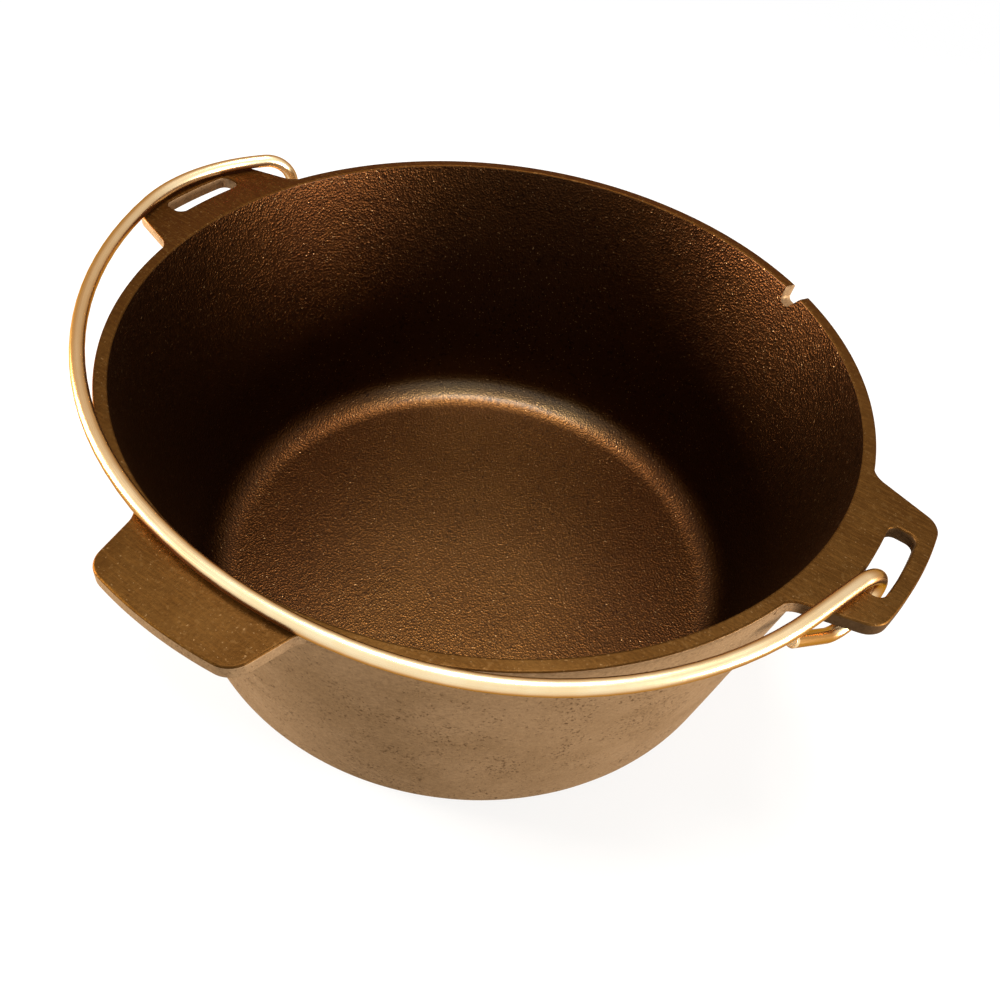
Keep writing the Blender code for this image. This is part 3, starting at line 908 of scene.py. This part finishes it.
def wire_sweep():
    """Geometry nodes: sweep a round section along the wire's path and keep its run and turn."""
    tree = bpy.data.node_groups.new("wire_sweep", "GeometryNodeTree")
    tree.interface.new_socket("Geometry", in_out="INPUT", socket_type="NodeSocketGeometry")
    tree.interface.new_socket("Radius", in_out="INPUT", socket_type="NodeSocketFloat")
    tree.interface.new_socket("Paint", in_out="INPUT", socket_type="NodeSocketMaterial")
    tree.interface.new_socket("Geometry", in_out="OUTPUT", socket_type="NodeSocketGeometry")
    nodes, links = tree.nodes, tree.links
    given, result = nodes.new("NodeGroupInput"), nodes.new("NodeGroupOutput")
    path = nodes.new("GeometryNodeMeshToCurve")
    links.new(given.outputs["Geometry"], path.inputs["Mesh"])
    along = nodes.new("GeometryNodeSplineParameter")
    run = nodes.new("GeometryNodeStoreNamedAttribute")
    run.data_type, run.domain = "FLOAT", "POINT"
    run.inputs["Name"].default_value = "run"
    links.new(path.outputs[0], run.inputs["Geometry"])
    links.new(along.outputs["Length"], run.inputs["Value"])
    total = nodes.new("GeometryNodeSplineLength")
    left = nodes.new("ShaderNodeMath")
    left.operation = "SUBTRACT"
    links.new(total.outputs["Length"], left.inputs[0])
    links.new(along.outputs["Length"], left.inputs[1])
    nearest = nodes.new("ShaderNodeMath")
    nearest.operation = "MINIMUM"
    links.new(along.outputs["Length"], nearest.inputs[0])
    links.new(left.outputs[0], nearest.inputs[1])
    ease = nodes.new("ShaderNodeMapRange")
    ease.interpolation_type = "SMOOTHSTEP"
    ease.inputs["From Max"].default_value = END_EASE
    ease.inputs["To Min"].default_value = 0.78
    links.new(nearest.outputs[0], ease.inputs["Value"])
    size = nodes.new("ShaderNodeMath")
    size.operation = "MULTIPLY"
    links.new(ease.outputs[0], size.inputs[0])
    links.new(given.outputs["Radius"], size.inputs[1])
    section = nodes.new("GeometryNodeCurvePrimitiveCircle")
    section.inputs["Resolution"].default_value = SIDES
    section.inputs["Radius"].default_value = 1.0
    round_way = nodes.new("GeometryNodeSplineParameter")
    turn = nodes.new("GeometryNodeStoreNamedAttribute")
    turn.data_type, turn.domain = "FLOAT", "POINT"
    turn.inputs["Name"].default_value = "turn"
    links.new(section.outputs[0], turn.inputs["Geometry"])
    links.new(round_way.outputs["Factor"], turn.inputs["Value"])
    sweep = nodes.new("GeometryNodeCurveToMesh")
    sweep.inputs["Fill Caps"].default_value = True
    links.new(run.outputs[0], sweep.inputs["Curve"])
    links.new(turn.outputs[0], sweep.inputs["Profile Curve"])
    links.new(size.outputs[0], sweep.inputs["Scale"])
    finish = nodes.new("GeometryNodeSetMaterial")
    links.new(sweep.outputs[0], finish.inputs["Geometry"])
    links.new(given.outputs["Paint"], finish.inputs["Material"])
    links.new(finish.outputs[0], result.inputs["Geometry"])
    return tree


def wire_paint():
    """Bright drawn steel, painted darker and golden towards its edges as shade, with faint drawing
    lines and small dull marks.
    """
    paint, tree, shader = new_paint("drawn_wire")
    lay = tree.nodes.new("ShaderNodeCombineXYZ")
    for slot, (name, spread) in enumerate((("run", 26.0), ("turn", 34.0))):
        given = tree.nodes.new("ShaderNodeAttribute")
        given.attribute_name = name
        tree.links.new(faded(tree, given.outputs["Fac"], spread), lay.inputs[slot])
    drawn = noise_node(tree, lay.outputs[0], 1.0, 4.0, 0.65)
    blotch = use_group(tree, BLOTCHES, Scale=60.0, Fine_Scale=700.0)
    nicks = voronoi_node(tree, object_place(tree), NICK_SCALE)
    nick = math_node(tree, "MULTIPLY", math_node(tree, "LESS_THAN", nicks.outputs["Color"], 0.22),
                     ramp_node(tree, nicks.outputs["Distance"], 0.04, 0.14, 1.0, 0.0))
    # Painted shade: the wire's colour turns darker and golden where its surface turns away from the
    # view.
    facing = tree.nodes.new("ShaderNodeLayerWeight")
    facing.inputs["Blend"].default_value = 0.5
    edge_shade = ramp_node(tree, facing.outputs["Facing"], 0.05, 0.52)
    core = mix_node(tree, blotch.outputs["Cloud"], WIRE_CORE, WIRE_CORE_PALE)
    base = mix_node(tree, edge_shade, core, WIRE_EDGE_SHADE)
    lined = mix_node(tree, ramp_node(tree, drawn, 0.52, 0.75, 0.0, 0.35), base, DRAWN_LINE)
    marked = lay_over(tree, lined, NICK_BROWN, nick, 0.5)
    tree.links.new(marked, shader.inputs["Base Color"])
    rough = ramp_node(tree, drawn, 0.3, 0.8, 0.22, 0.34)
    rough = math_node(tree, "ADD", rough, faded(tree, nick, 0.25))
    tree.links.new(rough, shader.inputs["Roughness"])
    shader.inputs["Metallic"].default_value = 1.0
    shader.inputs["Specular Tint"].default_value = WIRE_TINT
    under = bump_node(tree, drawn, 0.00003, 0.5)
    bump = bump_node(tree, blotch.outputs["Fine"], 0.00002, 0.4, under)
    tree.links.new(bump, shader.inputs["Normal"])
    return paint


def make_bail():
    """The finished bail on the bail body."""
    path = list(reversed(half_wire(-1, LEFT_BEND))) + half_wire(1, RIGHT_BEND)[1:]
    mesh = bpy.data.meshes.new("bail_wire")
    links = [(index, index + 1) for index in range(len(path) - 1)]
    mesh.from_pydata([tuple(point) for point in path], links, [])
    bail = bpy.data.objects.new("bail_wire", mesh)
    bpy.context.scene.collection.objects.link(bail)
    sweep = bail.modifiers.new("wire_sweep", "NODES")
    sweep.node_group = wire_sweep()
    for item in sweep.node_group.interface.items_tree:
        if item.name == "Radius":
            sweep[item.identifier] = WIRE_RADIUS
        if item.name == "Paint":
            sweep[item.identifier] = wire_paint()
    bpy.context.view_layer.update()
    graph = bpy.context.evaluated_depsgraph_get()
    swept = bpy.data.meshes.new_from_object(bail.evaluated_get(graph))
    bail.modifiers.clear()
    bail.data = swept
    swept.shade_smooth()
    swept.set_sharp_from_angle(angle=math.radians(40))
    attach(bail, "bail")
    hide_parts("bail_handle")


make_bail()
